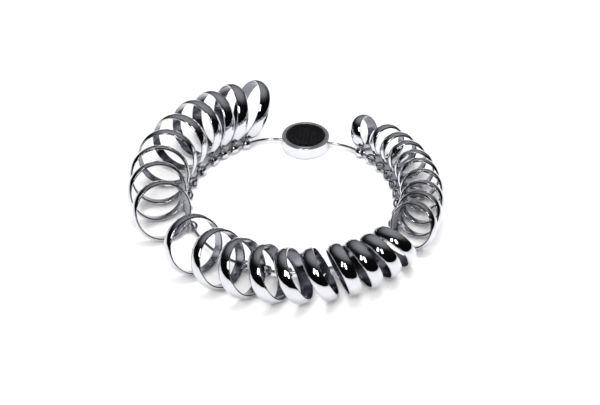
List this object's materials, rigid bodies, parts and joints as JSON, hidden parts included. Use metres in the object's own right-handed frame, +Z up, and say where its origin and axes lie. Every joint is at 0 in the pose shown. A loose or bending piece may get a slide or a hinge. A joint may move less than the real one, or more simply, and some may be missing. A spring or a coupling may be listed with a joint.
{
  "type": "finger gauge set",
  "caption": "Domed chrome finger gauges, graded by size, threaded by small eyes on a round wire loop closed with a flat disc clasp.",
  "frame": {"origin": "centre of the clasp's underside, on the ground", "axes": "+Z up, the loop lies towards -Y, +X towards the small gauges"},
  "size_m": [0.1243, 0.1197, 0.0254],
  "materials": {
    "gauge": "polished chrome plate",
    "wire": "drawn spring steel",
    "case": "satin chrome plate",
    "bezel": "turned steel",
    "badge": "gloss black",
    "brass": "machined",
    "sleeve": "turned steel",
    "spring": "spring steel"
  },
  "bodies": {
    "loop": {"catch_screw": "sleeve", "catch_spring": "spring", "clasp_badge": "badge", "clasp_base": "case", "clasp_bezel": "bezel", "clasp_block": "brass", "clasp_case": "case", "clasp_plug": "sleeve", "clasp_sleeve": "sleeve", "loop_wire": "wire"},
    "catch": {"catch_ball": "spring"},
    "gauge_15_0_body": {"gauge_15_0": "gauge"},
    "gauge_14_5_body": {"gauge_14_5": "gauge"},
    "gauge_14_0_body": {"gauge_14_0": "gauge"},
    "gauge_13_5_body": {"gauge_13_5": "gauge"},
    "gauge_13_0_body": {"gauge_13_0": "gauge"},
    "gauge_12_5_body": {"gauge_12_5": "gauge"},
    "gauge_12_0_body": {"gauge_12_0": "gauge"},
    "gauge_11_5_body": {"gauge_11_5": "gauge"},
    "gauge_11_0_body": {"gauge_11_0": "gauge"},
    "gauge_10_5_body": {"gauge_10_5": "gauge"},
    "gauge_10_0_body": {"gauge_10_0": "gauge"},
    "gauge_9_5_body": {"gauge_9_5": "gauge"},
    "gauge_9_0_body": {"gauge_9_0": "gauge"},
    "gauge_8_5_body": {"gauge_8_5": "gauge"},
    "gauge_8_0_body": {"gauge_8_0": "gauge"},
    "gauge_7_5_body": {"gauge_7_5": "gauge"},
    "gauge_7_0_body": {"gauge_7_0": "gauge"},
    "gauge_6_5_body": {"gauge_6_5": "gauge"},
    "gauge_6_0_body": {"gauge_6_0": "gauge"},
    "gauge_5_5_body": {"gauge_5_5": "gauge"},
    "gauge_5_0_body": {"gauge_5_0": "gauge"},
    "gauge_4_5_body": {"gauge_4_5": "gauge"},
    "gauge_4_0_body": {"gauge_4_0": "gauge"},
    "gauge_3_5_body": {"gauge_3_5": "gauge"},
    "gauge_3_0_body": {"gauge_3_0": "gauge"},
    "gauge_2_5_body": {"gauge_2_5": "gauge"},
    "gauge_2_0_body": {"gauge_2_0": "gauge"},
    "gauge_1_5_body": {"gauge_1_5": "gauge"},
    "gauge_1_0_body": {"gauge_1_0": "gauge"}
  },
  "joints": [
    {"name": "gauge_15_0_swing", "type": "hinge", "parent": "loop", "child": "gauge_15_0_body", "pos_m": [-0.02521, -0.0054, 0.0022], "axis": [-0.801, -0.3715, 0.4695], "range_deg": [-5, 45]},
    {"name": "gauge_14_5_swing", "type": "hinge", "parent": "loop", "child": "gauge_14_5_body", "pos_m": [-0.02966, -0.00926, 0.0022], "axis": [-0.8027, -0.5198, 0.2924], "range_deg": [-5, 45]},
    {"name": "gauge_14_0_swing", "type": "hinge", "parent": "loop", "child": "gauge_14_0_body", "pos_m": [-0.03353, -0.01371, 0.0022], "axis": [-0.658, -0.705, 0.2644], "range_deg": [-5, 45]},
    {"name": "gauge_13_5_swing", "type": "hinge", "parent": "loop", "child": "gauge_13_5_body", "pos_m": [-0.03674, -0.01865, 0.0022], "axis": [-0.4707, -0.8501, 0.2363], "range_deg": [-5, 45]},
    {"name": "gauge_13_0_swing", "type": "hinge", "parent": "loop", "child": "gauge_13_0_body", "pos_m": [-0.03999, -0.02617, 0.0022], "axis": [-0.2497, -0.9457, 0.2079], "range_deg": [-5, 45]},
    {"name": "gauge_12_5_swing", "type": "hinge", "parent": "loop", "child": "gauge_12_5_body", "pos_m": [-0.04172, -0.03417, 0.0022], "axis": [0.0653, -0.959, 0.2756], "range_deg": [-5, 45]},
    {"name": "gauge_12_0_swing", "type": "hinge", "parent": "loop", "child": "gauge_12_0_body", "pos_m": [-0.04187, -0.04236, 0.0022], "axis": [0.3508, -0.8435, 0.4067], "range_deg": [-5, 45]},
    {"name": "gauge_11_5_swing", "type": "hinge", "parent": "loop", "child": "gauge_11_5_body", "pos_m": [-0.04042, -0.05041, 0.0022], "axis": [0.4885, -0.7589, 0.4305], "range_deg": [-5, 45]},
    {"name": "gauge_11_0_swing", "type": "hinge", "parent": "loop", "child": "gauge_11_0_body", "pos_m": [-0.03598, -0.06066, 0.0022], "axis": [0.5368, -0.7111, 0.454], "range_deg": [-5, 45]},
    {"name": "gauge_10_5_swing", "type": "hinge", "parent": "loop", "child": "gauge_10_5_body", "pos_m": [-0.02059, -0.07561, 0.0022], "axis": [0.6427, -0.6283, 0.4384], "range_deg": [-5, 45]},
    {"name": "gauge_10_0_swing", "type": "hinge", "parent": "loop", "child": "gauge_10_0_body", "pos_m": [-0.01137, -0.07943, 0.0022], "axis": [0.7614, -0.4704, 0.4462], "range_deg": [-5, 45]},
    {"name": "gauge_9_5_swing", "type": "hinge", "parent": "loop", "child": "gauge_9_5_body", "pos_m": [-0.00371, -0.08084, 0.0022], "axis": [0.8471, -0.2763, 0.454], "range_deg": [-5, 45]},
    {"name": "gauge_9_0_swing", "type": "hinge", "parent": "loop", "child": "gauge_9_0_body", "pos_m": [0.00408, -0.0808, 0.0022], "axis": [0.8803, -0.0681, 0.4695], "range_deg": [-5, 45]},
    {"name": "gauge_8_5_swing", "type": "hinge", "parent": "loop", "child": "gauge_8_5_body", "pos_m": [0.01076, -0.0796, 0.0022], "axis": [0.8664, 0.1195, 0.4848], "range_deg": [-5, 45]},
    {"name": "gauge_8_0_swing", "type": "hinge", "parent": "loop", "child": "gauge_8_0_body", "pos_m": [0.01717, -0.07733, 0.0022], "axis": [0.8366, 0.3066, 0.454], "range_deg": [-5, 45]},
    {"name": "gauge_7_5_swing", "type": "hinge", "parent": "loop", "child": "gauge_7_5_body", "pos_m": [0.02228, -0.0746, 0.0022], "axis": [0.8279, 0.4787, 0.2924], "range_deg": [-5, 45]},
    {"name": "gauge_7_0_swing", "type": "hinge", "parent": "loop", "child": "gauge_7_0_body", "pos_m": [0.02697, -0.0712, 0.0022], "axis": [0.7291, 0.6107, 0.309], "range_deg": [-5, 45]},
    {"name": "gauge_6_5_swing", "type": "hinge", "parent": "loop", "child": "gauge_6_5_body", "pos_m": [0.03115, -0.06718, 0.0022], "axis": [0.6095, 0.7229, 0.3256], "range_deg": [-5, 45]},
    {"name": "gauge_6_0_swing", "type": "hinge", "parent": "loop", "child": "gauge_6_0_body", "pos_m": [0.03473, -0.06262, 0.0022], "axis": [0.473, 0.812, 0.342], "range_deg": [-5, 20]},
    {"name": "gauge_5_5_swing", "type": "hinge", "parent": "loop", "child": "gauge_5_5_body", "pos_m": [0.03907, -0.05442, 0.0022], "axis": [0.4527, 0.7674, -0.454], "range_deg": [-5, 20]},
    {"name": "gauge_5_0_swing", "type": "hinge", "parent": "loop", "child": "gauge_5_0_body", "pos_m": [0.04092, -0.04846, 0.0022], "axis": [0.3544, 0.8146, -0.4592], "range_deg": [-5, 45]},
    {"name": "gauge_4_5_swing", "type": "hinge", "parent": "loop", "child": "gauge_4_5_body", "pos_m": [0.04187, -0.04228, 0.0022], "axis": [0.2513, 0.8493, -0.4643], "range_deg": [-5, 45]},
    {"name": "gauge_4_0_swing", "type": "hinge", "parent": "loop", "child": "gauge_4_0_body", "pos_m": [0.0419, -0.03604, 0.0022], "axis": [0.107, 0.8764, -0.4695], "range_deg": [-5, 45]},
    {"name": "gauge_3_5_swing", "type": "hinge", "parent": "loop", "child": "gauge_3_5_body", "pos_m": [0.04099, -0.02986, 0.0022], "axis": [-0.0404, 0.9017, -0.4305], "range_deg": [-5, 45]},
    {"name": "gauge_3_0_swing", "type": "hinge", "parent": "loop", "child": "gauge_3_0_body", "pos_m": [0.03919, -0.02388, 0.0022], "axis": [-0.0817, 0.9169, -0.3907], "range_deg": [-5, 45]},
    {"name": "gauge_2_5_swing", "type": "hinge", "parent": "loop", "child": "gauge_2_5_body", "pos_m": [0.03651, -0.01824, 0.0022], "axis": [-0.2153, 0.9116, -0.3502], "range_deg": [-5, 45]},
    {"name": "gauge_2_0_swing", "type": "hinge", "parent": "loop", "child": "gauge_2_0_body", "pos_m": [0.03303, -0.01306, 0.0022], "axis": [-0.3483, 0.885, -0.309], "range_deg": [-5, 45]},
    {"name": "gauge_1_5_swing", "type": "hinge", "parent": "loop", "child": "gauge_1_5_body", "pos_m": [0.02882, -0.00845, 0.0022], "axis": [-0.4681, 0.8215, -0.3256], "range_deg": [-5, 45]},
    {"name": "gauge_1_0_swing", "type": "hinge", "parent": "loop", "child": "gauge_1_0_body", "pos_m": [0.02397, -0.00451, 0.0022], "axis": [-0.8355, 0.3512, -0.4226], "range_deg": [-5, 45]},
    {"name": "catch_slide", "type": "slide", "parent": "loop", "child": "catch", "axis": [0, -1, 0], "range_m": [0, 0.00036], "stiffness_N_per_m": 1500, "springref_m": -0.0005, "deforming": ["catch_spring"]}
  ]
}
